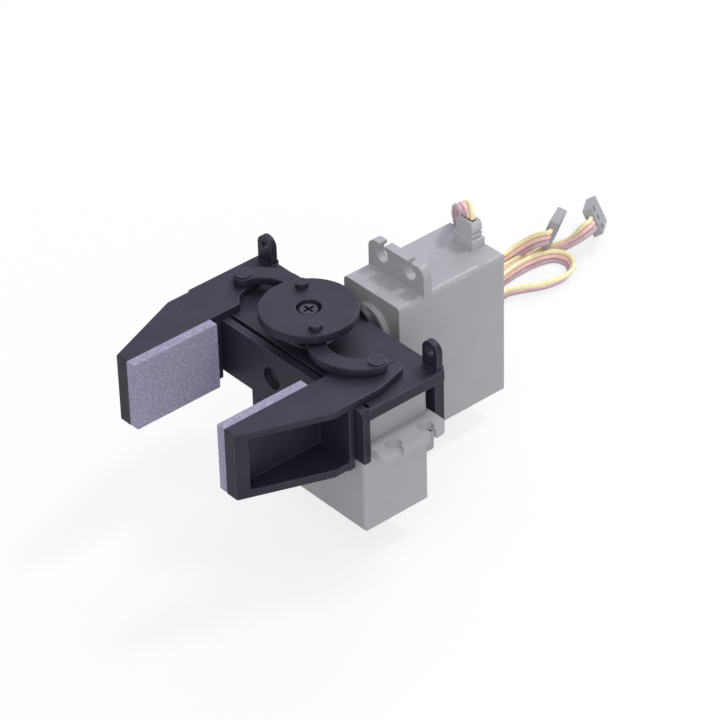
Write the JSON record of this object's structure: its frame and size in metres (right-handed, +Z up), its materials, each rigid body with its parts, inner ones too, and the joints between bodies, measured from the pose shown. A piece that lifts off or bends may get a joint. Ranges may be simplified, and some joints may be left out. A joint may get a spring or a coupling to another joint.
{
  "type": "electric two finger gripper",
  "caption": "Parallel two finger gripper with flat padded fingers, moved by a servo through a disc and two links, and turned at the wrist by a second servo.",
  "frame": {"origin": "centre of the four holes in the wrist servo's flange, on the flange's front face", "axes": "+Y from the gripper to the wrist servo's rear, along the wrist axis and normal to the flange; +Z up, from the drive servo to the disc on top; +X to the right finger as seen from behind the fingers' open end"},
  "size_m": [0.0961, 0.1714, 0.0585],
  "materials": {
    "gripper_plastic": "fine grained moulding",
    "horn_plastic": "smooth moulding",
    "pad_foam": "fine grained foam",
    "servo_case": "smooth moulding",
    "steel_screw": "plated",
    "motor_can": "plated",
    "brass": "turned",
    "nylon_gear": "smooth moulding",
    "internal_plastic": "smooth moulding",
    "circuit_board": "solder mask",
    "relief_rubber": "smooth",
    "lead_wire": "three insulated wires side by side",
    "plug_plastic": "smooth moulding"
  },
  "bodies": {
    "wrist_servo": {"wrist_gear_cover": "servo_case", "wrist_case": "servo_case", "wrist_bottom_cover": "servo_case", "wrist_case_screws": "steel_screw", "wrist_motor": "motor_can", "wrist_gear_pin": "steel_screw", "wrist_bush": "brass", "wrist_potentiometer": "internal_plastic", "wrist_circuit_board": "circuit_board", "wrist_strain_relief": "relief_rubber", "wrist_lead": "lead_wire", "wrist_plug": "plug_plastic", "drive_lead": "lead_wire", "drive_plug": "plug_plastic"},
    "gripper_body": {"base_frame": "gripper_plastic", "drive_mount_screws": "steel_screw", "wrist_horn": "horn_plastic", "wrist_horn_screws": "steel_screw", "wrist_centre_screw": "steel_screw", "wrist_output_gear": "nylon_gear", "drive_gear_cover": "servo_case", "drive_case": "servo_case", "drive_bottom_cover": "servo_case", "drive_case_screws": "steel_screw", "drive_motor": "motor_can", "drive_gear_pin": "steel_screw", "drive_bush": "brass", "drive_potentiometer": "internal_plastic", "drive_circuit_board": "circuit_board", "drive_strain_relief": "relief_rubber"},
    "drive_disc": {"drive_disc": "gripper_plastic", "crank_pins": "gripper_plastic", "disc_screw": "steel_screw", "drive_output_gear": "nylon_gear"},
    "right_finger": {"right_finger": "gripper_plastic", "right_pad": "pad_foam", "right_finger_pin": "gripper_plastic"},
    "left_finger": {"left_finger": "gripper_plastic", "left_pad": "pad_foam", "left_finger_pin": "gripper_plastic"},
    "right_link": {"right_link": "gripper_plastic"},
    "left_link": {"left_link": "gripper_plastic"},
    "drive_gear_3": {"drive_gear_3": "nylon_gear"},
    "drive_gear_2": {"drive_gear_2": "nylon_gear"},
    "drive_gear_1": {"drive_gear_1": "nylon_gear"},
    "drive_pinion": {"drive_pinion": "brass"},
    "wrist_gear_3": {"wrist_gear_3": "nylon_gear"},
    "wrist_gear_2": {"wrist_gear_2": "nylon_gear"},
    "wrist_gear_1": {"wrist_gear_1": "nylon_gear"},
    "wrist_pinion": {"wrist_pinion": "brass"}
  },
  "joints": [
    {"name": "wrist_turn", "type": "hinge", "parent": "wrist_servo", "child": "gripper_body", "pos_m": [0, 0, 0.0103], "axis": [0, -1, 0], "range_deg": [-90, 90], "deforming": ["drive_lead"]},
    {"name": "right_finger_slide", "type": "slide", "parent": "gripper_body", "child": "right_finger", "axis": [1, 0, 0], "range_m": [-0.01515, 0.0016]},
    {"name": "left_finger_slide", "type": "slide", "parent": "gripper_body", "child": "left_finger", "axis": [-1, 0, 0], "range_m": [-0.01517, 0.00162]},
    {"name": "disc_turn", "type": "hinge", "parent": "gripper_body", "child": "drive_disc", "pos_m": [0, -0.0273, 0.0179], "axis": [0, 0, 1], "range_deg": [-113.75, 12.05]},
    {"name": "right_link_turn", "type": "hinge", "parent": "right_finger", "child": "right_link", "pos_m": [0.0242, -0.0273, 0.0179], "axis": [0, 0, 1], "range_deg": [-0.99, 8.95]},
    {"name": "left_link_turn", "type": "hinge", "parent": "left_finger", "child": "left_link", "pos_m": [-0.0242, -0.0273, 0.0179], "axis": [0, 0, 1], "range_deg": [-0.99, 8.95]},
    {"name": "drive_gear_3_spin", "type": "hinge", "parent": "gripper_body", "child": "drive_gear_3", "pos_m": [0.0104, -0.0273, 0], "axis": [0, 0, 1], "range_deg": [-33.57, 309.61]},
    {"name": "drive_gear_2_spin", "type": "hinge", "parent": "gripper_body", "child": "drive_gear_2", "pos_m": [0, -0.0273, 0], "axis": [0, 0, 1], "range_deg": [-1029.71, 109.57]},
    {"name": "drive_gear_1_spin", "type": "hinge", "parent": "gripper_body", "child": "drive_gear_1", "pos_m": [0.0104, -0.0273, 0], "axis": [0, 0, 1], "range_deg": [-362.9, 3430.05]},
    {"name": "drive_pinion_spin", "type": "hinge", "parent": "gripper_body", "child": "drive_pinion", "pos_m": [0.0204, -0.0273, 0], "axis": [0, 0, 1], "range_deg": [-13717.19, 1448.62]},
    {"name": "wrist_gear_3_spin", "type": "hinge", "parent": "wrist_servo", "child": "wrist_gear_3", "pos_m": [0, 0, -0.0001], "axis": [0, -1, 0], "range_deg": [-245.29, 245.29]},
    {"name": "wrist_gear_2_spin", "type": "hinge", "parent": "wrist_servo", "child": "wrist_gear_2", "pos_m": [0, 0, 0.0103], "axis": [0, -1, 0], "range_deg": [-815.29, 815.29]},
    {"name": "wrist_gear_1_spin", "type": "hinge", "parent": "wrist_servo", "child": "wrist_gear_1", "pos_m": [0, 0, -0.0001], "axis": [0, -1, 0], "range_deg": [-2715.29, 2715.29]},
    {"name": "wrist_pinion_spin", "type": "hinge", "parent": "wrist_servo", "child": "wrist_pinion", "pos_m": [0, 0, -0.0101], "axis": [0, -1, 0], "range_deg": [-10858.14, 10858.14]}
  ],
  "couplings": [
    {"joint": "left_finger_slide", "follows": "right_finger_slide", "ratio": 1},
    {"joint": "disc_turn", "follows": "right_finger_slide", "rad_per_m": 130.99},
    {"joint": "right_link_turn", "follows": "right_finger_slide", "rad_per_m": -10.253},
    {"joint": "left_link_turn", "follows": "right_finger_slide", "rad_per_m": -10.253},
    {"joint": "drive_gear_3_spin", "follows": "right_finger_slide", "rad_per_m": -355.53},
    {"joint": "drive_gear_2_spin", "follows": "right_finger_slide", "rad_per_m": 1185.1},
    {"joint": "drive_gear_1_spin", "follows": "right_finger_slide", "rad_per_m": -3950.4},
    {"joint": "drive_pinion_spin", "follows": "right_finger_slide", "rad_per_m": 15801},
    {"joint": "wrist_gear_3_spin", "follows": "wrist_turn", "ratio": -2.7143},
    {"joint": "wrist_gear_2_spin", "follows": "wrist_turn", "ratio": 9.0476},
    {"joint": "wrist_gear_1_spin", "follows": "wrist_turn", "ratio": -30.159},
    {"joint": "wrist_pinion_spin", "follows": "wrist_turn", "ratio": 120.63}
  ]
}
